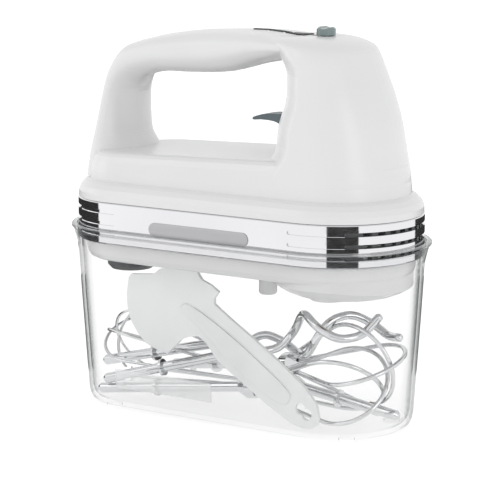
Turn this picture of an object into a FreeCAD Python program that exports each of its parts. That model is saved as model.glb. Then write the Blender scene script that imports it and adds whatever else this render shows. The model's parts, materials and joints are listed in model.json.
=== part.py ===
import FreeCAD, Part
import os
import math

# Hand mixer resting on its clear storage case, with its attachments inside.
# Millimetres.  +X towards the nose, +Z up, origin under the middle of the case.

os.makedirs("parts", exist_ok=True)
V = FreeCAD.Vector

# ------------------------------------------------------------ driving sizes
XF = 102.5          # half length of the band, front and rear
W = 45.9            # half width of the band
RCF, RNF = 44.0, 48.0    # front corner and nose radii of the plan
RCR, RNR = 38.0, 56.0    # rear corner and tail radii of the plan
Z_BAND0, Z_BAND1 = 95.0, 118.0
Z_DECK = 145.0      # floor of the finger opening
Z_BOT = 83.4        # underside of the lower housing
WALL = 2.2
MZ = 114.0          # height of the motor axis
SPX = 62.0          # spindle position along X
SPY = 17.0          # half spacing of the two spindles
R_SOCK = 2.95       # beater socket radius
SHAFT_R = 2.85      # beater shaft radius
ZT = 211.2          # crown of the motor body
KNOB_X = 49.2       # power slider
PIV = (35.0, 166.0)      # eject lever pivot, X and Z
SWX = -80.0         # cord swivel centre


# ------------------------------------------------------------ helpers
def vec(x, y, z):
    return V(float(x), float(y), float(z))


def cyl(r, h, x, y, z, d=(0, 0, 1)):
    return Part.makeCylinder(r, h, vec(x, y, z), vec(*d))


def cone(r1, r2, h, x, y, z, d=(0, 0, 1)):
    return Part.makeCone(r1, r2, h, vec(x, y, z), vec(*d))


def box(x0, x1, y0, y1, z0, z1):
    return Part.makeBox(x1 - x0, y1 - y0, z1 - z0, vec(x0, y0, z0))


def fuse(shapes):
    s = shapes[0]
    if len(shapes) > 1:
        s = s.multiFuse(shapes[1:])
    return s.removeSplitter()


def ends(xf, w, rc, rn, sgn):
    """corner centre x, tangent point of corner and nose arc"""
    xn = xf - rn
    xc = xn + math.sqrt(max(0.0, (rn - rc) ** 2 - (w - rc) ** 2))
    dx, dy = xc - xn, w - rc
    n = math.hypot(dx, dy)
    tx, ty = xn + rn * dx / n, rn * dy / n
    mx = (xc + rc * math.cos(0.5 * (math.pi / 2 + math.atan2(dy, dx))))
    my = (w - rc) + rc * math.sin(0.5 * (math.pi / 2 + math.atan2(dy, dx)))
    return sgn * xc, sgn * tx, ty, sgn * mx, my


def plan_wire(z, xf, xr, w, rcf, rnf, rcr, rnr):
    fc, ft, fty, fm, fmy = ends(xf, w, rcf, rnf, 1)
    rc, rt, rty, rm, rmy = ends(xr, w, rcr, rnr, -1)
    e = [Part.LineSegment(vec(rc, -w, z), vec(fc, -w, z)).toShape(),
         Part.Arc(vec(fc, -w, z), vec(fm, -fmy, z), vec(ft, -fty, z)).toShape(),
         Part.Arc(vec(ft, -fty, z), vec(xf, 0, z), vec(ft, fty, z)).toShape(),
         Part.Arc(vec(ft, fty, z), vec(fm, fmy, z), vec(fc, w, z)).toShape(),
         Part.LineSegment(vec(fc, w, z), vec(rc, w, z)).toShape(),
         Part.Arc(vec(rc, w, z), vec(rm, rmy, z), vec(rt, rty, z)).toShape(),
         Part.Arc(vec(rt, rty, z), vec(-xr, 0, z), vec(rt, -rty, z)).toShape(),
         Part.Arc(vec(rt, -rty, z), vec(rm, -rmy, z), vec(rc, -w, z)).toShape()]
    return Part.Wire(e)


def outline(off, z):
    return plan_wire(z, XF + off, XF + off, W + off, RCF + off, RNF + off, RCR + off, RNR + off)


def stack(prof, ruled=True):
    """solid through plan outlines given as (z, offset)"""
    return Part.makeLoft([outline(o, z) for z, o in prof], True, ruled)


def slab(off, z0, z1):
    return Part.Face(outline(off, z0)).extrude(vec(0, 0, z1 - z0))


def resample(rows, n):
    """finer rows on a smooth curve through the given rows (chord-spaced Catmull-Rom)"""
    m = len(rows[0])
    t = [0.0]
    for a, b in zip(rows[:-1], rows[1:]):
        t.append(t[-1] + math.sqrt(sum((x - y) ** 2 for x, y in zip(a, b))) + 1e-6)

    def slope(k, c):
        if k == 0:
            return (rows[1][c] - rows[0][c]) / (t[1] - t[0])
        if k == len(rows) - 1:
            return (rows[k][c] - rows[k - 1][c]) / (t[k] - t[k - 1])
        h0, h1 = t[k] - t[k - 1], t[k + 1] - t[k]
        s0, s1 = (rows[k][c] - rows[k - 1][c]) / h0, (rows[k + 1][c] - rows[k][c]) / h1
        if s0 * s1 <= 0:
            return 0.0
        return (s0 * h1 + s1 * h0) / (h0 + h1)
    out = []
    for k in range(len(rows) - 1):
        h = t[k + 1] - t[k]
        for j in range(n):
            u = j / float(n)
            h00, h10 = 2 * u ** 3 - 3 * u ** 2 + 1, u ** 3 - 2 * u ** 2 + u
            h01, h11 = -2 * u ** 3 + 3 * u ** 2, u ** 3 - u ** 2
            out.append([h00 * rows[k][c] + h10 * h * slope(k, c) + h01 * rows[k + 1][c] + h11 * h * slope(k + 1, c)
                        for c in range(m)])
    out.append(list(rows[-1]))
    return out


def block_wire(z, w, xf, xr, fc_, rc_):
    """plan of the motor body: round nose, bowed rear wall"""
    rc, rn = fc_ * w, (2.0 - fc_) * w
    fc, ft, fty, fm, fmy = ends(xf, w, rc, rn, 1)
    rr, rb = rc_ * w, 1.12 * w
    c2, t2, ty2, m2, my2 = ends(0.0, w, rr, rb, -1)
    c2, t2, m2 = xr + c2, xr + t2, xr + m2
    e = [Part.LineSegment(vec(c2, -w, z), vec(fc, -w, z)).toShape(),
         Part.Arc(vec(fc, -w, z), vec(fm, -fmy, z), vec(ft, -fty, z)).toShape(),
         Part.Arc(vec(ft, -fty, z), vec(xf, 0, z), vec(ft, fty, z)).toShape(),
         Part.Arc(vec(ft, fty, z), vec(fm, fmy, z), vec(fc, w, z)).toShape(),
         Part.LineSegment(vec(fc, w, z), vec(c2, w, z)).toShape(),
         Part.Arc(vec(c2, w, z), vec(m2, my2, z), vec(t2, ty2, z)).toShape(),
         Part.Arc(vec(t2, ty2, z), vec(xr, 0, z), vec(t2, -ty2, z)).toShape(),
         Part.Arc(vec(t2, -ty2, z), vec(m2, -my2, z), vec(c2, -w, z)).toShape()]
    return Part.Wire(e)


# motor body sections: height, half width, front, rear, front and rear corner roundness
BLOCK = [(132.0, 39.3, 95.9, 15.0, 0.95, 0.20), (138.0, 39.1, 95.7, 16.5, 0.95, 0.20),
         (144.0, 38.6, 94.6, 20.2, 0.92, 0.18), (150.0, 38.0, 93.2, 24.7, 0.88, 0.16),
         (165.0, 36.7, 90.3, 27.0, 0.84, 0.16), (180.0, 34.8, 85.5, 31.5, 0.78, 0.16),
         (192.0, 33.1, 80.6, 31.5, 0.74, 0.20), (200.0, 32.6, 77.1, 27.9, 0.74, 0.28),
         (205.0, 31.1, 74.6, 24.3, 0.78, 0.55), (208.2, 28.8, 69.4, 19.3, 0.84, 0.75),
         (210.0, 25.5, 63.4, 16.6, 0.90, 0.85), (210.9, 21.0, 58.4, 18.5, 0.95, 0.90),
         (ZT, 12.1, 49.3, 26.2, 0.95, 0.90)]


def depth(a, b):
    return b - math.sqrt(max(0.0, (b - a) ** 2 - (1 - a) ** 2))


# handle and rear column sections: outer point, inner point (X, Z), half width
GRIP = [((-95.6, 128.9), (-58.9, 129.0), 30.8), ((-94.3, 142.7), (-68.6, 145.0), 26.4),
        ((-92.8, 150.0), (-73.0, 151.0), 24.2), ((-90.9, 158.0), (-74.2, 158.4), 22.9),
        ((-87.6, 172.7), (-74.6, 171.2), 21.2), ((-82.5, 188.7), (-72.4, 180.2), 20.7),
        ((-73.8, 200.8), (-66.4, 184.0), 21.0), ((-59.0, 205.8), (-55.4, 186.8), 21.8),
        ((-36.1, 210.1), (-37.0, 187.4), 22.1), ((-8.0, 212.5), (-9.1, 189.4), 22.6),
        ((13.9, 212.7), (13.5, 195.1), 24.4), ((24.0, 212.0), (23.5, 197.0), 26.0),
        ((33.0, 211.0), (32.0, 199.0), 27.6), ((45.0, 209.8), (44.0, 199.5), 28.0)]
SECT = [(0.0, 1.0), (0.50, 0.975), (0.84, 0.885), (0.99, 0.70), (0.985, 0.52), (0.90, 0.36), (0.50, 0.10), (0.0, 0.0)]


def grip_section(o, i, a, d):
    ox, oz = o
    ix, iz = i
    L = math.hypot(ox - ix, oz - iz)
    ux, uz = (ox - ix) / L, (oz - iz) / L
    ix, iz = ix + ux * d, iz + uz * d
    L -= 2 * d
    a -= d
    half = [(s * a, v * L) for s, v in SECT]
    pts = half + [(-y, v) for y, v in half[-2:0:-1]]
    p3 = [vec(ix + ux * v, y, iz + uz * v) for y, v in pts]
    c = Part.BSplineCurve()
    c.interpolate(p3, PeriodicFlag=True)
    return Part.Wire([c.toShape()])


def block(d):
    ws = []
    for z, w, xf, xr, fc, rc in resample(BLOCK, 3):
        w, xf, xr = w - d, xf - d, xr + d
        z -= d * min(1.0, max(0.0, (z - 199.0) / 9.0))
        xr = min(xr, xf - (depth(fc, 2.0 - fc) + depth(rc, 1.12)) * w - 0.1)
        ws.append(block_wire(z, w, xf, xr, fc, rc))
    return Part.makeLoft(ws, True, True)


def grip(d):
    rows = resample([(o[0], o[1], i[0], i[1], a) for o, i, a in GRIP], 4)
    return Part.makeLoft([grip_section((r[0], r[1]), (r[2], r[3]), r[4], d) for r in rows], True, True)


def upper_body(d):
    """whole upper body inset by d"""
    base = [(118.15, 0.5), (121.6, 0.4), (124.6, -0.9), (127.0, -3.2), (128.6, -6.0), (133.0, -6.4)]
    deck = [(139.5, -7.6), (142.6, -9.0), (144.1, -10.7), (144.7, -12.8)]
    low = [(117.0 if d and k == 0 else z, o - d) for k, (z, o) in enumerate(base)]
    ws = [outline(o, z) for z, o in low]
    for k, (z, o) in enumerate(deck):
        w = outline(o - d, z - d * k / 3.0)
        w.rotate(V(-45, 0, z), V(0, 1, 0), -1.8)      # the deck rises a little towards the motor body
        ws.append(w)
    b = Part.makeLoft(ws, True, True)
    return b.fuse([block(d), grip(d)])


def rod(pts, r, bend):
    """round bar through points, with tangent arcs at the corners"""
    P = [vec(*p) for p in pts]
    edges = []
    start = P[0]
    for k in range(1, len(P) - 1):
        a, b, c = P[k - 1], P[k], P[k + 1]
        u = (a - b)
        v = (c - b)
        lu, lv = u.Length, v.Length
        u.normalize()
        v.normalize()
        ang = u.getAngle(v)
        if math.pi - ang < 1e-3:
            continue
        t = bend / math.tan(ang / 2)
        t = min(t, 0.49 * lu, 0.49 * lv)
        rr = t * math.tan(ang / 2)
        p1, p2 = b + u * t, b + v * t
        w = (u + v)
        w.normalize()
        cen = b + w * (rr / math.sin(ang / 2))
        mid = cen - w * rr
        if (p1 - start).Length > 1e-4:
            edges.append(Part.LineSegment(start, p1).toShape())
        edges.append(Part.Arc(p1, mid, p2).toShape())
        start = p2
    edges.append(Part.LineSegment(start, P[-1]).toShape())
    w = Part.Wire(edges)
    t0 = (P[1] - P[0])
    prof = Part.Wire([Part.Circle(P[0], t0, r).toShape()])
    return w.makePipeShell([prof], True, False)


def placed(shape, pose):
    """pose: x, y, z and a rotation vector in radians"""
    px, py, pz, rx, ry, rz = pose
    ang = math.sqrt(rx * rx + ry * ry + rz * rz)
    s = shape.copy()
    if ang > 1e-9:
        s.rotate(V(0, 0, 0), V(rx / ang, ry / ang, rz / ang), math.degrees(ang))
    s.translate(V(px, py, pz))
    return s


made = {}


def put(name, shape, solids=None):
    shape = shape if isinstance(shape, Part.Shape) else shape
    n = len(shape.Solids)
    if solids is not None and n != solids:
        print("WARNING", name, "has", n, "solids, expected", solids)
    bad = [s for s in shape.Solids if not s.isValid() or s.Volume <= 0]
    if bad:
        print("WARNING", name, "invalid solids", len(bad))
    shape.exportStep("parts/%s.step" % name)
    made[name] = shape
    bb = shape.BoundBox
    print("%-24s %2d  %8.0f mm3  x %6.1f %6.1f  y %6.1f %6.1f  z %6.1f %6.1f" % (
        name, n, shape.Volume, bb.XMin, bb.XMax, bb.YMin, bb.YMax, bb.ZMin, bb.ZMax))


# ------------------------------------------------------------ storage case
case_out = stack([(1.2, -9.6), (1.7, -7.6), (3.2, -5.6), (5.6, -4.5), (9.0, -3.9), (60.0, -0.6), (85.6, 0.9),
                  (92.0, 1.5), (96.0, 2.5), (100.6, 3.8)])
lip = stack([(100.6, 3.8), (100.7, 4.3), (101.2, 4.7), (102.1, 4.7), (102.6, 4.3)])
case_in = stack([(3.4, -11.4), (4.4, -8.4), (6.4, -6.8), (9.4, -6.0), (60.0, -2.65), (86.0, -1.25), (90.0, -0.9),
                 (94.7, -0.9)])
case_mouth = stack([(94.7, 1.2), (103.5, 1.9)])
case = case_out.fuse(lip).cut(case_in).cut(case_mouth)
put("storage_case", case, 1)
FEET = [(-70.0, -31.0), (78.0, -24.0), (-70.0, 31.0), (78.0, 24.0)]
put("case_feet", Part.makeCompound([fuse([cyl(4.4, 1.2, x, y, 0.0)]) for x, y in FEET]), 4)
# plain raised panel on the near wall of the case
cb = box(-60.0, 4.0, -60.0, 0.0, 14.0, 24.5)
shell = stack([(9.0, -3.3), (60.0, -0.0)]).cut(stack([(8.9, -3.886), (60.1, -0.574)]))
put("case_badge", cb.common(shell).common(box(-80, 80, -60, 0, 9.5, 59)), 1)

# ------------------------------------------------------------ attachments
POSE = {
    "A": (-84.712, -23.293, 6.290, -0.75860, -0.16026, 0.08552),
    "B": (-73.319, 32.807, 10.828, 1.84284, -0.31210, 0.00431),
    "W": (93.186, 2.206, 9.887, 0.19180, -0.71169, 3.02420),
    "H": (-92.925, -7.440, 18.441, -3.19328, 0.01771, -0.39919),
    "K": (-79.842, -24.669, 12.782, 1.06267, -0.14679, 0.30722),
}


def tangent_loop(x0, h0, xc, rr):
    d = math.hypot(xc - x0, h0)
    al = math.atan2(-h0, xc - x0)
    th = al + math.asin(rr / d)
    L = math.sqrt(d * d - rr * rr)
    return x0 + L * math.cos(th), h0 + L * math.sin(th)


def loop_wire(x0, h0, xc, rr, ang, r):
    """one closed-ended wire loop starting and ending at the ferrule"""
    tx, ty = tangent_loop(x0, h0, xc, rr)
    c, s = math.cos(ang), math.sin(ang)

    def q(x, y):
        return vec(x, y * c, y * s)
    e = [Part.LineSegment(q(x0, h0), q(tx, ty)).toShape(),
         Part.Arc(q(tx, ty), q(xc + rr, 0), q(tx, -ty)).toShape(),
         Part.LineSegment(q(tx, -ty), q(x0, -h0)).toShape()]
    w = Part.Wire(e)
    prof = Part.Wire([Part.Circle(q(x0, h0), q(tx, ty) - q(x0, h0), r).toShape()])
    return w.makePipeShell([prof], True, False)


def attachment_shaft(end, wings=0):
    s = [cyl(SHAFT_R, end, 0, 0, 0, (1, 0, 0)), cone(1.6, SHAFT_R, 1.6, -1.6, 0, 0, (1, 0, 0)),
         cyl(4.8, 1.6, 35.2, 0, 0, (1, 0, 0)),
         box(12.0, 16.0, -0.6, 0.6, -4.2, 4.2) if wings else box(12.0, 16.0, -4.2, 4.2, -0.6, 0.6)]
    return s


def beater(name, pose):
    sh = attachment_shaft(94) + [cone(3.4, 6.6, 5, 88, 0, 0, (1, 0, 0)), cyl(6.6, 5.4, 93, 0, 0, (1, 0, 0))]
    put("beater_%s_shaft" % name, placed(fuse(sh), pose), 1)
    l1 = loop_wire(98.95, 5.0, 148.0, 24.0, 0.0, 1.2)
    l2 = loop_wire(98.95, 5.0, 151.6, 24.0, math.pi / 2, 1.2)
    put("beater_%s_wires" % name, placed(Part.makeCompound([l1, l2]), pose), 2)


beater("a", POSE["A"])
beater("b", POSE["B"])
sh = attachment_shaft(60, 1)
put("whisk_shaft", placed(fuse(sh), POSE["W"]), 1)
put("whisk_ferrule", placed(fuse([cone(3.6, 5.2, 4, 60.0, 0, 0, (1, 0, 0)), cyl(5.2, 8.4, 64.0, 0, 0, (1, 0, 0))]),
                            POSE["W"]), 1)
wl = [loop_wire(72.8, 3.2, 170.0 - 1.9 * k, 21.0, math.pi * k / 4, 0.8) for k in range(4)]
put("whisk_wires", placed(Part.makeCompound(wl), POSE["W"]), 4)
HOOK = [(98, 0), (108, 60), (117, 120), (126, 180), (135, 240), (144, 300), (153, 360), (162, 420), (171, 480),
        (180, 540)]


def hook(name, hand, pose):
    pts = [(86, 0, 0)] + [(x, 9.5 * math.cos(math.radians(a) * hand), 9.5 * math.sin(math.radians(a) * hand))
                          for x, a in HOOK]
    w = rod(pts, 2.3, 14.0)
    s = fuse(attachment_shaft(88) + [w, Part.makeSphere(2.3, vec(*pts[-1]))])
    put("dough_hook_%s" % name, placed(s, pose), 1)


hook("a", 1, POSE["H"])
hook("b", -1, POSE["K"])

# spatula: flat blade with a notch, tapering grip with an oval hole
SPY0 = -28.6
SP = [(-14.6, 82.4), (-35.5, 82.2), (-39.5, 80.8), (-43.5, 77.6), (-58.6, 76.2), (-60.4, 74.2), (-61.9, 64.8), (-61.3, 56.9), (-59.1, 49.7), (-53.9, 42.3), (-48.8, 37.9), (-41.3, 35.2),
      (-34.3, 33.9), (-29.5, 38.5), (-25.1, 42.8), (-19.3, 45.3), (-13.4, 46.3), (-8.4, 43.0), (-0.6, 33.7),
      (15.9, 23.5), (30.7, 14.2), (41.9, 8.3), (48.4, 5.2), (53.9, 4.2), (59.3, 4.6), (63.1, 6.8), (63.9, 11.0),
      (62.3, 18.5), (55.0, 26.6), (38.9, 38.4), (22.5, 49.0), (6.0, 59.2), (-3.0, 65.4), (-3.0, 68.4),
      (-0.1, 72.3), (-5.4, 75.6), (-11.2, 77.7)]
sw = Part.makePolygon([vec(x, SPY0 - 1.1, z) for x, z in SP + SP[:1]])
spat = Part.Face(sw).extrude(vec(0, 2.2, 0))
spat = spat.cut(cyl(3.2, 12, 52.5, SPY0 - 6, 14.6, (0, 1, 0))).cut(cyl(3.2, 12, 56.5, SPY0 - 6, 12.0, (0, 1, 0)))
put("spatula", spat, 1)

# ------------------------------------------------------------ lower housing
lo = stack([(83.4, -10.5), (83.8, -8.0), (85.0, -5.6), (87.4, -4.3), (90.4, -3.6), (94.9, -2.9)])
up = stack([(94.9, -3.6), (105.9, -3.6)])
BOWL = [(72.9, 17.0), (73.3, 22.0), (74.6, 27.5), (76.6, 32.4), (78.8, 36.2), (80.4, 38.4), (81.0, 39.2), (88.4, 39.4)]


def bowl(rows):
    return fuse([cone(a[1], b[1], b[0] - a[0], SPX, 0, a[0]) for a, b in zip(rows[:-1], rows[1:])])


bulge = bowl(BOWL).common(slab(-4.9, 72.0, 89.0))
post = fuse([cyl(5.0, 17.0, 12.7, 0, 69.0), cone(4.2, 5.0, 1.0, 12.7, 0, 68.0)])
lo_out = lo.fuse([up, bulge, post])
lo_in = stack([(83.4 + WALL, -12.5), (84.2 + WALL, -10.0), (86.8, -7.4), (89.6, -6.2), (95.0, -5.8), (106.5, -5.8)])
b_in = bowl([(z + 2.3, max(12.0, r - 2.0)) for z, r in BOWL[:6]] + [(90.0, 36.5)]).common(slab(-7.4, 72.0, 92.0))
lower = lo_out.cut(lo_in).cut(b_in)
# bosses that carry the lower spindle bushes and open downwards
for s in (-1, 1):
    lower = lower.fuse(cyl(9.4, 9.8, SPX, s * SPY, 73.2))
for s in (-1, 1):
    lower = lower.cut(cyl(6.6, 18.0, SPX, s * SPY, 67.0))
# seat for the cord swivel
lower = lower.cut(cyl(9.3, 6, SWX, 0, 82.0))
# screw holes under the four corners
SCR = [(-58.0, -30.0), (-58.0, 30.0), (22.0, -31.0), (22.0, 31.0)]
for x, y in SCR:
    lower = lower.cut(cyl(1.8, 8, x, y, 82.0)).cut(cyl(3.6, 1.6, x, y, 83.0))
put("lower_housing", lower, 1)

# ------------------------------------------------------------ band and liner
band = stack([(Z_BAND0, 0.1), (Z_BAND0 + 0.7, 0.8), (Z_BAND1 - 0.7, 0.8), (Z_BAND1, 0.1)]).cut(
    slab(-0.8, Z_BAND0 - 1, Z_BAND1 + 1))
# three grooves round each end, open to the inside past the corners
for zc in (100.2, 106.5, 112.8):
    groove = slab(4.0, zc - 1.05, zc + 1.05).cut(slab(0.1, zc - 3, zc + 3))
    through = slab(4.0, zc - 1.05, zc + 1.05)
    for x0, x1, t0, t1 in ((55.4, 130, 84.0, 130), (-130, -58.0, -130, -86.0)):
        band = band.cut(groove.common(box(x0, x1, -70, 70, zc - 3, zc + 3)))
        band = band.cut(through.common(box(t0, t1, -70, 70, zc - 3, zc + 3)))
    for x in (55.4, -58.0):
        for y in (-(W + 3), W + 0.1):
            band = band.cut(cyl(1.05, 2.9, x, y, zc, (0, 1, 0)))
put("chrome_band", band, 1)
liner = stack([(95.2, -1.0), (117.8, -1.0)]).cut(slab(-3.0, 94, 119))
for sx in (-1, 1):
    for k in range(-4, 5):
        y = 7.0 * k
        for zc in (100.2, 106.5, 112.8):
            liner = liner.cut(box(min(sx * 88, sx * 112), max(sx * 88, sx * 112), y - 2.0, y + 2.0, zc - 0.9, zc + 0.9))
put("vent_liner", liner, 1)
plate = box(-30.0, 26.5, -47.15, -46.72, 102.4, 110.0)
pm = plate.fuse([cyl(3.8, 0.43, -30.0, -47.15, 106.2, (0, 1, 0)), cyl(3.8, 0.43, 26.5, -47.15, 106.2, (0, 1, 0))])
put("band_badge", pm.removeSplitter(), 1)

# ------------------------------------------------------------ upper housing
outer = upper_body(0.0)
inner = upper_body(WALL)
# openings for the controls, the display and the lever
SLOT = (43.3, 50.4)
cuts = [box(SLOT[0], SLOT[1], -3.0, 3.0, 200, 225), cyl(3.0, 25, SLOT[0], 0, 200), cyl(3.0, 25, SLOT[1], 0, 200),
        box(26.5, 38.9, -5.3, 5.3, 204, 225),
        box(6.15, 15.25, -5.25, 5.25, 204, 225), box(15.95, 25.05, -5.25, 5.25, 204, 225),
        box(18.0, 36.0, -6.4, 6.4, 157.0, 172.5)]
shell = outer.cut(inner)
for c in cuts:
    shell = shell.cut(c)
for x, y in SCR:
    shell = shell.fuse(cyl(3.4, 59.6 if x > 0 else 57.2, x, y, 86.0).common(outer.fuse(slab(-6.6, 80, 125)))).cut(
        cyl(1.6, 14.0, x, y, 85.0))
left = shell.common(box(-130, 130, 0, 80, 80, 230))
right = shell.common(box(-130, 130, -80, 0, 80, 230))
put("upper_housing_left", left, 1)
put("upper_housing_right", right, 1)

# ------------------------------------------------------------ controls on the handle
proud = outer.copy()
proud.translate(vec(0, 0, 0.5))      # the keys and the display stand a little above the shell
lens = box(26.8, 38.6, -5.0, 5.0, 208.5, 225).common(proud)
put("display_lens", lens, 1)
put("display_module", box(26.8, 38.6, -6.0, 6.0, 205.0, 208.4), 1)
for nm, x0, x1 in (("speed_button_minus", 6.4, 15.0), ("speed_button_plus", 16.2, 24.8)):
    b = box(x0, x1, -5.0, 5.0, 207.4, 225).common(proud)
    b = b.fuse(box(x0 + 2.6, x1 - 2.6, -1.6, 1.6, 205.9, 208.0)).removeSplitter()
    put(nm, b, 1)
put("control_pcb", box(-2.0, 35.4, -9.0, 9.0, 202.4, 204.0), 1)
put("tact_switches", Part.makeCompound([fuse([box(x - 3, x + 3, -3, 3, 204.05, 204.9), cyl(1.5, 0.5, x, 0, 204.4)])
                                        for x in (10.7, 20.5)]), 2)
knob = fuse([cyl(5.2, 3.2, KNOB_X, 0, ZT + 0.4), cone(5.2, 4.6, 0.7, KNOB_X, 0, ZT + 3.6),
             cone(4.6, 3.6, 0.6, KNOB_X, 0, ZT + 4.3)])
knob = knob.cut(cyl(4.2, 20, KNOB_X + 1.0, -10, ZT + 8.0, (0, 1, 0)))
knob = knob.fuse(box(KNOB_X - 2.0, KNOB_X + 2.0, -2.7, 2.7, 205.0, ZT + 0.6)).removeSplitter()
put("power_switch", knob, 1)
put("switch_module", box(37.6, 60.0, -8.0, 8.0, 194.0, 204.6), 1)

# ------------------------------------------------------------ eject lever and ejector
px, pz = PIV
lv = [(6.0, 164.9), (6.4, 165.7), (8.4, 166.5), (12.2, 167.6), (16.5, 168.2), (23.0, 168.4), (35.0, 168.4),
      (45.0, 167.0), (54.0, 166.0), (54.0, 162.8), (46.0, 162.4), (40.0, 160.8), (35.0, 160.4), (28.0, 161.2), (24.0, 162.6),
      (22.0, 163.6), (20.0, 164.2), (16.5, 164.6), (11.5, 164.7), (7.6, 164.3), (6.4, 164.4)]
lw = Part.makePolygon([vec(x, -5.6, z) for x, z in lv + lv[:1]])
lever = Part.Face(lw).extrude(vec(0, 11.2, 0))
lever = lever.fuse(cyl(4.2, 11.2, px, -5.6, pz - 1.6, (0, 1, 0))).removeSplitter()
lever = lever.cut(cyl(1.55, 20, px, -10, pz - 1.6, (0, 1, 0)))
put("eject_lever", lever, 1)
PVZ = pz - 1.6
put("lever_pin", cyl(1.5, 24.0, px, -12, PVZ, (0, 1, 0)), 1)

EJZ = 139.4         # underside of the ejector bridge at rest
ej = fuse([box(SPX - 5, SPX + 5, -SPY - 4.5, SPY + 4.5, EJZ, EJZ + 3.0), cyl(4.5, 3.0, SPX, SPY, EJZ),
           cyl(4.5, 3.0, SPX, -SPY, EJZ), box(50.0, SPX, -4.5, 4.5, EJZ, EJZ + 3.0),
           box(50.0, 54.0, -4.5, 4.5, EJZ, 161.8)]
          + [cyl(1.5, EJZ - 111.5 + 1, SPX, s * SPY, 111.5) for s in (-1, 1)])
put("ejector_bridge", ej, 1)


def spring(r, wire, z0, z1, turns, x, y):
    n = 12
    total = int(n * turns)
    h = z1 - z0 - 2 * wire
    rr = r / math.cos(math.pi / n)
    pts = [(x + rr * math.cos(2 * math.pi * k / n), y + rr * math.sin(2 * math.pi * k / n), z0 + wire + h * k / total)
           for k in range(total + 1)]
    return rod(pts, wire, r)


# ------------------------------------------------------------ gear frame, motor, gears
frame_ = fuse([box(40.0, 79.5, -28.5, 28.5, 126.0, 129.0), box(40.0, 79.5, -28.5, 28.5, 95.0, 98.0),
               box(79.0, 82.0, -18.0, 18.0, 126.0, 129.0), box(79.0, 82.0, -18.0, 18.0, 95.0, 98.0),
               box(38.0, 41.0, -29.0, 29.0, 95.0, 129.0), box(81.0, 84.0, -18.0, 18.0, 95.0, 129.0)])
frame_ = fuse([frame_] + [cyl(3.2, 10.0, 43.0, s * 25.5, 85.7) for s in (-1, 1)])
frame_ = frame_.cut(cyl(4.6, 14, 32, 0, MZ, (1, 0, 0))).cut(cyl(2.27, 14, 74, 0, MZ, (1, 0, 0)))
for s in (-1, 1):
    frame_ = frame_.cut(cyl(6.6, 60, SPX, s * SPY, 80))
frame_ = frame_.cut(cyl(3.4, 10, SPX, 0, 124))
put("gear_frame", frame_, 1)
put("ejector_spring", spring(3.6, 0.45, 129.1, EJZ - 0.1, 4.5, SPX, 0), 1)
for s, nm in ((-1, "right"), (1, "left")):
    y = s * SPY
    sp = cyl(4.9, 54.4, SPX, y, 74.0)
    sp = sp.cut(cyl(R_SOCK, 38.0, SPX, y, 73.0)).cut(cyl(1.75, 70, SPX, y, 70.0))
    sp = sp.cut(box(SPX - 0.75, SPX + 0.75, y - 4.4, y + 4.4, 73.0, 78.4)).removeSplitter()
    put("spindle_%s" % nm, sp, 1)
    put("spindle_bushes_%s" % nm, Part.makeCompound(
        [cyl(6.55, 9.4, SPX, y, 73.3).cut(cyl(4.96, 12, SPX, y, 72)),
         cyl(6.55, 2.8, SPX, y, 95.1).cut(cyl(4.96, 12, SPX, y, 94)),
         cyl(6.55, 2.6, SPX, y, 126.2).cut(cyl(4.96, 12, SPX, y, 124))]), 3)

# worm wheels: 26 straight teeth, cut around the worm
NT = 26
RP = 13.0           # pitch radius
RW = SPY - RP       # worm pitch radius
MOD = 2 * RP / NT


TW = 7.2 * 0.125 / RP   # twist of the teeth over the wheel's face, to follow the thread


def wheel(y, phase, nm):
    ra, rf = RP + 0.75 * MOD, RP - 1.15 * MOD

    def ring(z, turn):
        pts = []
        for k in range(NT):
            a = 2 * math.pi * (k + phase) / NT + turn
            for da, r in ((-0.215, rf), (-0.10, ra), (0.10, ra), (0.215, rf)):
                t = a + da * 2 * math.pi / NT
                pts.append(vec(SPX + r * math.cos(t), y + r * math.sin(t), z))
        return Part.makePolygon(pts + pts[:1])
    g = Part.makeLoft([ring(MZ - 3.6, -TW / 2), ring(MZ + 3.6, TW / 2)], True, True)
    g = g.fuse(cyl(7.6, 12.0, SPX, y, MZ - 6.0)).cut(cyl(4.93, 30, SPX, y, MZ - 12))
    put(nm, g, 1)
    return g


wheel(-SPY, 0.5, "worm_wheel_right")
wheel(SPY, 0.0, "worm_wheel_left")
LEAD = 2 * math.pi * RP / NT
TURNS = 7
hx = Part.makeHelix(LEAD, TURNS * LEAD, RW)
tp = Part.makePolygon([V(2.7, 0, -0.66), V(RW + 0.72, 0, -0.36), V(RW + 0.72, 0, 0.36), V(2.7, 0, 0.66), V(2.7, 0, -0.66)])
thread = Part.Wire(hx.Edges).makePipeShell([tp], True, True)
thread.rotate(V(0, 0, 0), V(0, 1, 0), 90)
THREAD_TURN = 90.0
thread.rotate(V(0, 0, 0), V(1, 0, 0), THREAD_TURN)
thread.translate(V(SPX - TURNS * LEAD / 2.0 + 0.5 * LEAD, 0, MZ))
shaft = fuse([cyl(3.0, 101.0, -57.0, 0, MZ, (1, 0, 0)), cyl(2.9, 34.0, 43.5, 0, MZ, (1, 0, 0)),
              cyl(2.2, 8.0, 76.5, 0, MZ, (1, 0, 0))])
shaft = shaft.fuse(thread)
put("motor_shaft", shaft, 1)
put("armature_core", cyl(15.0, 30.0, -30.0, 0, MZ, (1, 0, 0)).cut(cyl(3.05, 40, -34, 0, MZ, (1, 0, 0))), 1)
aw = [cyl(13.0, 5.0, -36.0, 0, MZ, (1, 0, 0)).cut(cyl(4.0, 9, -38, 0, MZ, (1, 0, 0))),
      cyl(13.0, 5.0, 1.0, 0, MZ, (1, 0, 0)).cut(cyl(4.0, 9, -1, 0, MZ, (1, 0, 0)))]
put("armature_windings", Part.makeCompound(aw), 2)
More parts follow.
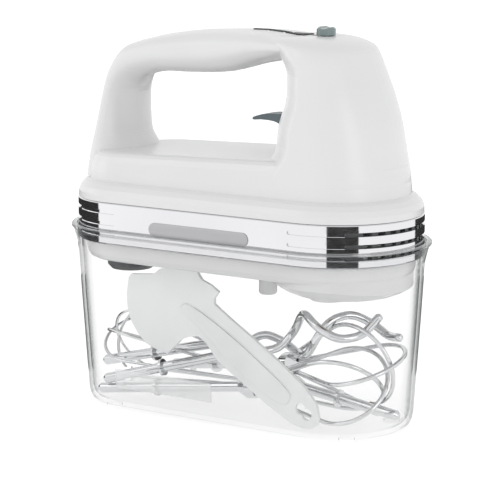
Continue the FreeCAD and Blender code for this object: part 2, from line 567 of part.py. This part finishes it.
put("commutator", cyl(8.0, 9.0, -46.0, 0, MZ, (1, 0, 0)).cut(cyl(3.05, 12, -47, 0, MZ, (1, 0, 0))), 1)
fan = fuse([cyl(7.0, 6.0, 12.0, 0, MZ, (1, 0, 0)), cyl(23.0, 1.4, 12.0, 0, MZ, (1, 0, 0))]
           + [box(13.0, 21.0, -0.6, 0.6, 6.0, 22.6).copy() for _ in range(0)])
for k in range(10):
    b = box(13.0, 21.5, -0.6, 0.6, 5.0, 22.6)
    b.rotate(V(0, 0, 0), V(1, 0, 0), 36.0 * k)
    b.translate(V(0, 0, MZ))
    fan = fan.fuse(b)
fan = fan.cut(cyl(3.05, 12, 10, 0, MZ, (1, 0, 0))).removeSplitter()
put("cooling_fan", fan, 1)
st = box(-30.0, 0.0, -26.0, 26.0, MZ - 26.0, MZ + 26.0).cut(cyl(15.6, 40, -34, 0, MZ, (1, 0, 0)))
for s in (-1, 1):
    st = st.cut(box(-31, 1, min(s * 8, s * 20), max(s * 8, s * 20), MZ - 20, MZ + 20))
st = st.fuse([box(-30, 0, -8, 8, MZ - 26, MZ - 15.7), box(-30, 0, -8, 8, MZ + 15.7, MZ + 26)]).cut(
    cyl(15.6, 40, -34, 0, MZ, (1, 0, 0))).removeSplitter()
put("stator_core", st)
fc = []
for s in (-1, 1):
    zc = MZ + s * 17.8
    fc.append(box(-35.0, 5.0, -13.0, 13.0, zc - 1.9, zc + 1.9).cut(box(-30.2, 0.2, -8.2, 8.2, zc - 3, zc + 3)))
put("field_coils", Part.makeCompound(fc), 2)
put("motor_bearings", Part.makeCompound([cyl(6.4, 6.0, -57.0, 0, MZ, (1, 0, 0)).cut(cyl(3.06, 9, -58, 0, MZ, (1, 0, 0))),
                                         cyl(4.55, 2.8, 38.1, 0, MZ, (1, 0, 0)).cut(cyl(3.06, 9, 36, 0, MZ, (1, 0, 0)))]), 2)
br = box(-60.0, -50.0, -20.0, 20.0, MZ - 8.0, MZ + 8.0).cut(cyl(6.45, 20, -62, 0, MZ, (1, 0, 0)))
put("bearing_bracket", br, 1)
put("brush_holders", Part.makeCompound([box(-45.0, -38.0, min(s * 9.6, s * 24.0), max(s * 9.6, s * 24.0), MZ - 4, MZ + 4).cut(
    box(-43.6, -39.4, min(s * 8, s * 23.0), max(s * 8, s * 23.0), MZ - 2.6, MZ + 2.6)) for s in (-1, 1)]), 2)
put("carbon_brushes", Part.makeCompound([box(-43.4, -39.6, min(s * 8.1, s * 20.0), max(s * 8.1, s * 20.0), MZ - 2.4, MZ + 2.4)
                                         for s in (-1, 1)]), 2)

# ------------------------------------------------------------ cord swivel
sw_ = fuse([cyl(13.8, 7.4, SWX, 0, 75.6), cone(11.6, 13.8, 2.4, SWX, 0, 73.2), cyl(9.0, 10.0, SWX, 0, 82.6)])
sw_ = fuse([sw_, cyl(11.0, 1.6, SWX, 0, 85.9)])
sw_ = sw_.cut(cyl(3.3, 30, SWX, 0, 78.4, (1, 0, 0))).cut(cyl(3.3, 30, SWX, 0, 78.4))
put("cord_swivel", sw_, 1)

# ------------------------------------------------------------ screws and wiring
put("internal_wiring", Part.makeCompound([rod([(SWX, y, 89.5), (-81.9, y, 150), (-81.0, y, 174), (-70.0, y, 192.6),
                                               (-55.0, y, 197.4), (-6.0, y, 198.6)], 1.1, 12.0) for y in (-2.0, 2.0)]), 2)
put("housing_screws", Part.makeCompound([fuse([cyl(3.3, 1.15, x, y, 83.45), cyl(1.5, 13.4, x, y, 84.5)]) for x, y in SCR]), 4)

print("nodes", len(made))
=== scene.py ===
import json
import math
import bmesh
import bpy
from mathutils import Vector, Matrix


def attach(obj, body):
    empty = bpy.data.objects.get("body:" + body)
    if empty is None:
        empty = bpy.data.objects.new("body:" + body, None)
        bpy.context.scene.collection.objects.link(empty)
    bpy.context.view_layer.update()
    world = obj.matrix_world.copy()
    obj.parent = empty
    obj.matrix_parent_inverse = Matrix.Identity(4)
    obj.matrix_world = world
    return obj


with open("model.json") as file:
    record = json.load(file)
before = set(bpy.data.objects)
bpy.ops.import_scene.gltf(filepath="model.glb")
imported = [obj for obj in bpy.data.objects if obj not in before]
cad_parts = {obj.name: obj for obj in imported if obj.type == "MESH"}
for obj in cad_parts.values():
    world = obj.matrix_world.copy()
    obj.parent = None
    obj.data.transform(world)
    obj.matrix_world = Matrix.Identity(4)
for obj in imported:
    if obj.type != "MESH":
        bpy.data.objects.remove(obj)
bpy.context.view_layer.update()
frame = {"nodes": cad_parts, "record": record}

NODES = frame["nodes"]


# ------------------------------------------------------------ materials
def new_mat(name):
    m = bpy.data.materials.new(name)
    m.use_nodes = True
    nt = m.node_tree
    nt.nodes.clear()
    out = nt.nodes.new("ShaderNodeOutputMaterial")
    bs = nt.nodes.new("ShaderNodeBsdfPrincipled")
    nt.links.new(bs.outputs[0], out.inputs[0])
    return m, nt, bs, out


def coords(nt, scale=(1, 1, 1)):
    tc = nt.nodes.new("ShaderNodeTexCoord")
    mp = nt.nodes.new("ShaderNodeMapping")
    mp.inputs["Scale"].default_value = scale
    nt.links.new(tc.outputs["Object"], mp.inputs["Vector"])
    return mp.outputs["Vector"]


def noise(nt, vec, scale, detail=4.0, rough=0.5):
    n = nt.nodes.new("ShaderNodeTexNoise")
    n.inputs["Scale"].default_value = scale
    n.inputs["Detail"].default_value = detail
    n.inputs["Roughness"].default_value = rough
    nt.links.new(vec, n.inputs["Vector"])
    return n.outputs["Fac"]


def ramp(nt, fac, a, b, lo=0.3, hi=0.7):
    r = nt.nodes.new("ShaderNodeValToRGB")
    r.color_ramp.elements[0].position = lo
    r.color_ramp.elements[1].position = hi
    r.color_ramp.elements[0].color = (*a, 1)
    r.color_ramp.elements[1].color = (*b, 1)
    nt.links.new(fac, r.inputs["Fac"])
    return r.outputs["Color"]


def rng(nt, fac, lo, hi, a=0.3, b=0.7):
    r = nt.nodes.new("ShaderNodeMapRange")
    r.inputs["From Min"].default_value = a
    r.inputs["From Max"].default_value = b
    r.inputs["To Min"].default_value = lo
    r.inputs["To Max"].default_value = hi
    nt.links.new(fac, r.inputs["Value"])
    return r.outputs["Result"]


def bump(nt, bs, height, strength, dist):
    b = nt.nodes.new("ShaderNodeBump")
    b.inputs["Strength"].default_value = strength
    b.inputs["Distance"].default_value = dist
    nt.links.new(height, b.inputs["Height"])
    nt.links.new(b.outputs["Normal"], bs.inputs["Normal"])


def simple(name, ca, cb, metal=0.0, rough=(0.3, 0.4), scale=600.0, bstr=0.1, bdist=0.0001, coat=0.0, coat_rough=0.05,
           stretch=(1, 1, 1), spec=0.5, ior=1.5, sss=0.0):
    m, nt, bs, out = new_mat(name)
    v = coords(nt, stretch)
    f = noise(nt, v, scale)
    big = noise(nt, v, scale * 0.04, 2.0)
    nt.links.new(ramp(nt, big, ca, cb), bs.inputs["Base Color"])
    nt.links.new(rng(nt, f, rough[0], rough[1]), bs.inputs["Roughness"])
    bs.inputs["Metallic"].default_value = metal
    bs.inputs["Coat Weight"].default_value = coat
    bs.inputs["Coat Roughness"].default_value = coat_rough
    bs.inputs["Specular IOR Level"].default_value = spec
    bs.inputs["IOR"].default_value = ior
    if sss:
        bs.inputs["Subsurface Weight"].default_value = sss
        bs.inputs["Subsurface Radius"].default_value = (0.004, 0.004, 0.004)
    bump(nt, bs, f, bstr, bdist)
    return m


def clear(name, face, edge, stops, rough, scale=18.0, level=0.08, painted_edge_lines=()):
    """thin clear plastic: open where it is seen square on, grey where it is seen edge on, a painted shade standing in
    for the dark refraction at grazing angles
    """
    m, nt, bs, out = new_mat(name)
    v = coords(nt)
    f = noise(nt, v, scale, 2.0)
    lw = nt.nodes.new("ShaderNodeLayerWeight")
    lw.inputs["Blend"].default_value = 0.5
    nt.links.new(ramp(nt, f, face, edge, 0.2, 0.8), bs.inputs["Base Color"])
    nt.links.new(rng(nt, f, rough[0], rough[1]), bs.inputs["Roughness"])
    # painted shade: alpha rises with Facing, so the grey base covers the plastic where it is seen edge on
    r = nt.nodes.new("ShaderNodeValToRGB")
    e = r.color_ramp.elements
    e[0].position, e[0].color = stops[0][0], (stops[0][1],) * 3 + (1,)
    e[1].position, e[1].color = stops[-1][0], (stops[-1][1],) * 3 + (1,)
    for q, c in stops[1:-1]:
        n = e.new(q)
        n.color = (c, c, c, 1)
    nt.links.new(lw.outputs["Facing"], r.inputs["Fac"])
    # level faces, such as the bottom, stay open from every side
    tc = nt.nodes.new("ShaderNodeTexCoord")
    sp = nt.nodes.new("ShaderNodeSeparateXYZ")
    nt.links.new(tc.outputs["Normal"], sp.inputs[0])
    ab = nt.nodes.new("ShaderNodeMath")
    ab.operation = "ABSOLUTE"
    nt.links.new(sp.outputs["Z"], ab.inputs[0])
    up = rng(nt, ab.outputs[0], 1.0, level, 0.55, 0.93)
    # but the thick turned-out lip gets a painted grey band all the way round, standing in for the way it reads as a
    # line
    so = nt.nodes.new("ShaderNodeSeparateXYZ")
    nt.links.new(tc.outputs["Object"], so.inputs[0])
    lip = rng(nt, so.outputs["Z"], 0.0, 1.0, 0.0955, 0.0975)
    mx = nt.nodes.new("ShaderNodeMath")
    mx.operation = "MAXIMUM"
    nt.links.new(up, mx.inputs[0])
    nt.links.new(lip, mx.inputs[1])
    mu = nt.nodes.new("ShaderNodeMath")
    mu.operation = "MULTIPLY"
    nt.links.new(r.outputs["Color"], mu.inputs[0])
    nt.links.new(mx.outputs[0], mu.inputs[1])
    if painted_edge_lines:
        # painted grey strokes at the two crisp edges of the lip, standing in for the shade clear plastic shows there
        out_a = mu.outputs[0]
        for z0, z1, amount in painted_edge_lines:
            lo = rng(nt, so.outputs["Z"], 0.0, amount, z0, z0 + 0.0002)
            hi = rng(nt, so.outputs["Z"], 1.0, 0.0, z1, z1 + 0.0002)
            ml = nt.nodes.new("ShaderNodeMath")
            ml.operation = "MULTIPLY"
            nt.links.new(lo, ml.inputs[0])
            nt.links.new(hi, ml.inputs[1])
            mk = nt.nodes.new("ShaderNodeMath")
            mk.operation = "MAXIMUM"
            nt.links.new(out_a, mk.inputs[0])
            nt.links.new(ml.outputs[0], mk.inputs[1])
            out_a = mk.outputs[0]
        nt.links.new(out_a, bs.inputs["Alpha"])
        return m
    nt.links.new(mu.outputs[0], bs.inputs["Alpha"])
    return m


M = {}
M["white_shell"] = simple("white_shell", (0.655, 0.655, 0.66), (0.68, 0.68, 0.682), rough=(0.28, 0.33), scale=420, bstr=0.006,
                          coat=0.2, coat_rough=0.16)
M["chrome"] = simple("chrome", (0.70, 0.70, 0.72), (0.76, 0.76, 0.775), metal=1.0, rough=(0.05, 0.09), scale=300, bstr=0.02)
M["bright_steel"] = simple("bright_steel", (0.66, 0.67, 0.68), (0.72, 0.725, 0.73), metal=1.0, rough=(0.04, 0.08), scale=500,
                           bstr=0.03)
M["dark_plastic"] = simple("dark_plastic", (0.05, 0.054, 0.056), (0.068, 0.072, 0.074), rough=(0.38, 0.5), scale=1500, bstr=0.2)
M["badge_metal"] = simple("badge_metal", (0.42, 0.42, 0.43), (0.5, 0.5, 0.51), metal=1.0, rough=(0.28, 0.4), scale=1200,
                          stretch=(0.05, 1, 1), bstr=0.1)
M["display"] = simple("display", (0.018, 0.020, 0.022), (0.026, 0.029, 0.031), rough=(0.42, 0.5), scale=400, bstr=0.02, spec=0.25)
M["grey_plastic"] = simple("grey_plastic", (0.055, 0.060, 0.062), (0.072, 0.078, 0.08), rough=(0.55, 0.65), scale=1600, bstr=0.2,
                           spec=0.25)
M["slate_plastic"] = simple("slate_plastic", (0.085, 0.112, 0.125), (0.115, 0.145, 0.158), rough=(0.34, 0.44), scale=900,
                            bstr=0.06, spec=0.4)
M["grey_green_plastic"] = simple("grey_green_plastic", (0.145, 0.195, 0.195), (0.185, 0.24, 0.235), rough=(0.22, 0.3),
                                 scale=900, bstr=0.05, coat=0.6, coat_rough=0.1)
M["pcb"] = simple("pcb", (0.01, 0.10, 0.03), (0.02, 0.15, 0.05), rough=(0.3, 0.4), scale=500, coat=0.3)
M["steel"] = simple("steel", (0.42, 0.42, 0.43), (0.5, 0.5, 0.52), metal=1.0, rough=(0.22, 0.34), scale=900, bstr=0.15)
M["nylon"] = simple("nylon", (0.68, 0.66, 0.58), (0.74, 0.72, 0.65), rough=(0.4, 0.5), scale=900, sss=0.1)
M["cast_alloy"] = simple("cast_alloy", (0.40, 0.41, 0.42), (0.47, 0.48, 0.49), metal=0.9, rough=(0.4, 0.55), scale=700,
                         bstr=0.4)
M["bronze"] = simple("bronze", (0.42, 0.25, 0.11), (0.5, 0.31, 0.15), metal=1.0, rough=(0.35, 0.5), scale=900, bstr=0.3)
M["laminations"] = simple("laminations", (0.12, 0.12, 0.125), (0.18, 0.18, 0.185), metal=0.8, rough=(0.4, 0.55),
                          scale=120, stretch=(12, 0.2, 0.2), bstr=0.4)
M["copper"] = simple("copper", (0.55, 0.20, 0.07), (0.66, 0.28, 0.11), metal=0.9, rough=(0.25, 0.4), scale=260,
                     stretch=(0.3, 6, 6), bstr=0.4)
M["brass"] = simple("brass", (0.55, 0.38, 0.13), (0.62, 0.45, 0.18), metal=1.0, rough=(0.25, 0.35), scale=700)
M["carbon"] = simple("carbon", (0.015, 0.015, 0.016), (0.03, 0.03, 0.032), rough=(0.5, 0.65), scale=1200, bstr=0.3)
M["wire_jacket"] = simple("wire_jacket", (0.02, 0.03, 0.12), (0.03, 0.045, 0.17), rough=(0.35, 0.45), scale=900)
# clear case: painted grey shade where seen edge on, a painted grey band round the lip and two painted grey strokes at
# its crisp edges
M["clear_case"] = clear("clear_case", (0.20, 0.215, 0.215), (0.25, 0.265, 0.265),
                        ((0.0, 0.024), (0.50, 0.036), (0.64, 0.12), (0.77, 0.48), (0.87, 0.80), (1.0, 0.92)), (0.04, 0.07),
                        painted_edge_lines=((0.1020, 0.1030, 0.66), (0.0990, 0.0995, 0.36)))
M["frosted_panel"] = clear("frosted_panel", (0.72, 0.735, 0.735), (0.78, 0.79, 0.79),
                           ((0.0, 0.36), (0.6, 0.45), (0.8, 0.6), (1.0, 0.8)), (0.3, 0.4), 60.0)
m_milk, nt, bs, out = new_mat("milky_plastic")
v = coords(nt)
f = noise(nt, v, 60.0, 3.0)
nt.links.new(ramp(nt, f, (0.80, 0.812, 0.812), (0.84, 0.85, 0.85)), bs.inputs["Base Color"])
nt.links.new(rng(nt, noise(nt, v, 900.0), 0.28, 0.38), bs.inputs["Roughness"])
bs.inputs["Transmission Weight"].default_value = 0.08
bs.inputs["Subsurface Weight"].default_value = 0.15
bs.inputs["Subsurface Radius"].default_value = (0.003, 0.003, 0.003)
bs.inputs["Alpha"].default_value = 0.94
bump(nt, bs, f, 0.05, 0.0003)
M["milky_plastic"] = m_milk

rec = frame["record"]
slot_of = {}
for sp in rec.get("subparts", []):
    slot_of[sp["node"]] = sp.get("material_slot")
for n, o in NODES.items():
    s = slot_of.get(n)
    o.data.materials.clear()
    o.data.materials.append(M[s])
    for p in o.data.polygons:
        p.use_smooth = True
    try:
        o.data.set_sharp_from_angle(angle=math.radians(32))
    except Exception:
        pass


# ------------------------------------------------------------ fine detail pieces
def pad(name, body, pts, y0, y1, soft, mat):
    """raised pad in the XZ plane with softened upper edges, millimetres, pts counter-clockwise seen from -Y"""
    bm = bmesh.new()
    low = [bm.verts.new((x / 1000, y0 / 1000, z / 1000)) for x, z in pts]
    f = bm.faces.new(low)
    r = bmesh.ops.extrude_face_region(bm, geom=[f])
    top = [q for q in r["geom"] if isinstance(q, bmesh.types.BMVert)]
    for q in top:
        q.co.y = y1 / 1000
    te = [q for q in r["geom"] if isinstance(q, bmesh.types.BMEdge)]
    bmesh.ops.bevel(bm, geom=te, offset=soft / 1000, segments=3, profile=0.5, affect="EDGES")
    bmesh.ops.recalc_face_normals(bm, faces=bm.faces)
    me = bpy.data.meshes.new(name)
    bm.to_mesh(me)
    bm.free()
    o = bpy.data.objects.new(name, me)
    bpy.context.scene.collection.objects.link(o)
    me.materials.append(mat)
    for q in me.polygons:
        q.use_smooth = True
    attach(o, body)
    return o


def smooth_loop(pts, n=6):
    """closed Catmull-Rom loop through points"""
    out = []
    m = len(pts)
    for k in range(m):
        a, b, c, d = pts[k - 1], pts[k], pts[(k + 1) % m], pts[(k + 2) % m]
        for j in range(n):
            t = j / n
            out.append(tuple(0.5 * (2 * b[i] + (c[i] - a[i]) * t + (2 * a[i] - 5 * b[i] + 4 * c[i] - d[i]) * t * t
                                    + (3 * b[i] - a[i] - 3 * c[i] + d[i]) * t ** 3) for i in (0, 1)))
    return out


RIB = [(-24.6, 59.6), (-23.0, 63.0), (-18.5, 63.0), (-4.0, 56.0), (12.0, 46.6), (28.0, 36.0), (42.0, 26.0), (46.0, 21.6),
       (45.2, 17.4), (41.0, 15.6), (33.0, 18.4), (19.0, 27.0), (5.0, 36.6), (-6.0, 46.0), (-15.0, 53.0)]
pad("spatula_rib", "case", smooth_loop(RIB), -29.72, -30.55, 0.7, M["milky_plastic"])


# ------------------------------------------------------------ stage, lights, camera
def stage_mesh(name, verts, faces, mat):
    me = bpy.data.meshes.new(name)
    me.from_pydata(verts, [], faces)
    o = bpy.data.objects.new(name, me)
    bpy.context.scene.collection.objects.link(o)
    me.materials.append(mat)
    return o


floor_mat = simple("floor_white", (0.50, 0.50, 0.50), (0.51, 0.51, 0.51), rough=(0.9, 1.0), scale=30, bstr=0.0,
                   spec=0.0)
for q in floor_mat.node_tree.nodes:
    if q.type == "BSDF_PRINCIPLED":      # a lit white sweep, as bright as a photo table
        q.inputs["Emission Color"].default_value = (1.0, 1.0, 1.0, 1.0)
        q.inputs["Emission Strength"].default_value = 0.66
R = 6.0
stage_mesh("floor", [(-R, -R, 0), (R, -R, 0), (R, R, 0), (-R, R, 0)], [(0, 1, 2, 3)], floor_mat)

world = bpy.data.worlds.new("world")
bpy.context.scene.world = world
world.use_nodes = True
wnt = world.node_tree
bg = wnt.nodes["Background"]
tc = wnt.nodes.new("ShaderNodeTexCoord")
sep = wnt.nodes.new("ShaderNodeSeparateXYZ")
wnt.links.new(tc.outputs["Generated"], sep.inputs[0])


def wmath(op, a, b=None):
    n = wnt.nodes.new("ShaderNodeMath")
    n.operation = op
    for k, q in enumerate((a, b)):
        if q is None:
            continue
        if isinstance(q, (int, float)):
            n.inputs[k].default_value = q
        else:
            wnt.links.new(q, n.inputs[k])
    return n.outputs[0]


# soft white studio, a little darker straight ahead than overhead
el = wnt.nodes.new("ShaderNodeMapRange")
el.inputs["From Min"].default_value = -0.2
el.inputs["From Max"].default_value = 1.0
el.inputs["To Min"].default_value = 1.0
el.inputs["To Max"].default_value = 0.80
wnt.links.new(sep.outputs["Z"], el.inputs["Value"])
wnt.links.new(el.outputs["Result"], bg.inputs[0])
bg.inputs[1].default_value = 1.12

card_mat = simple("card_black", (0.012, 0.012, 0.012), (0.018, 0.018, 0.018), rough=(0.8, 0.9), scale=20, bstr=0.0)


def card(name, a0, a1, radius, z0, z1, n=24):
    """curved black card round the object, there only for the bright metal to mirror"""
    vs, fs = [], []
    for k in range(n + 1):
        t = math.radians(a0 + (a1 - a0) * k / n)
        for z in (z0, z1):
            vs.append((radius * math.cos(t), radius * math.sin(t), z))
    for k in range(n):
        fs.append((2 * k, 2 * k + 2, 2 * k + 3, 2 * k + 1))
    o = stage_mesh(name, vs, fs, card_mat)
    o.visible_camera = False
    o.visible_diffuse = False
    o.visible_transmission = False
    o.visible_shadow = False
    return o


card("card_front", -66.5, -28.0, 0.50, 0.0, 0.060)
card("card_back", 55.0, 216.0, 0.50, 0.0, 0.075)


def low_card(name, a0, a1, r0, r1, z, n=24):
    """flat black card behind the object, seen only by the bright wires and the case's edges"""
    vs, fs = [], []
    for k in range(n + 1):
        t = math.radians(a0 + (a1 - a0) * k / n)
        for r in (r0, r1):
            vs.append((r * math.cos(t), r * math.sin(t), z))
    for k in range(n):
        fs.append((2 * k, 2 * k + 2, 2 * k + 3, 2 * k + 1))
    o = stage_mesh(name, vs, fs, card_mat)
    o.visible_camera = False
    o.visible_diffuse = False
    o.visible_transmission = False
    o.visible_shadow = False
    return o


low_card("card_low", 55.0, 195.0, 0.14, 0.40, 0.002)


def area(name, loc, target, size, power, sy=None):
    l = bpy.data.lights.new(name, "AREA")
    l.energy = power
    l.shape = "RECTANGLE"
    l.size = size
    l.size_y = sy or size
    o = bpy.data.objects.new(name, l)
    bpy.context.scene.collection.objects.link(o)
    o.location = loc
    d = Vector(target) - Vector(loc)
    o.rotation_euler = d.to_track_quat("-Z", "Y").to_euler()
    return o


area("key", (-0.9, -1.2, 1.3), (0, 0, 0.1), 0.9, 2.2)
area("fill", (1.5, -0.7, 0.5), (0, 0, 0.12), 0.7, 1.8)
area("side", (-1.5, -0.5, 0.45), (0, 0, 0.12), 0.8, 1.4)

cam = bpy.data.cameras.new("camera")
cam.lens = 157.45
cam.sensor_width = 36.0
cam.clip_start = 0.05
cam.clip_end = 30
co = bpy.data.objects.new("camera", cam)
bpy.context.scene.collection.objects.link(co)
co.location = (0.65705, -0.99495, 0.3094)
d = Vector((0.00183, 0, 0.09032)) - co.location
co.rotation_euler = d.to_track_quat("-Z", "Y").to_euler()
bpy.context.scene.camera = co
bpy.context.scene.view_settings.view_transform = "Standard"
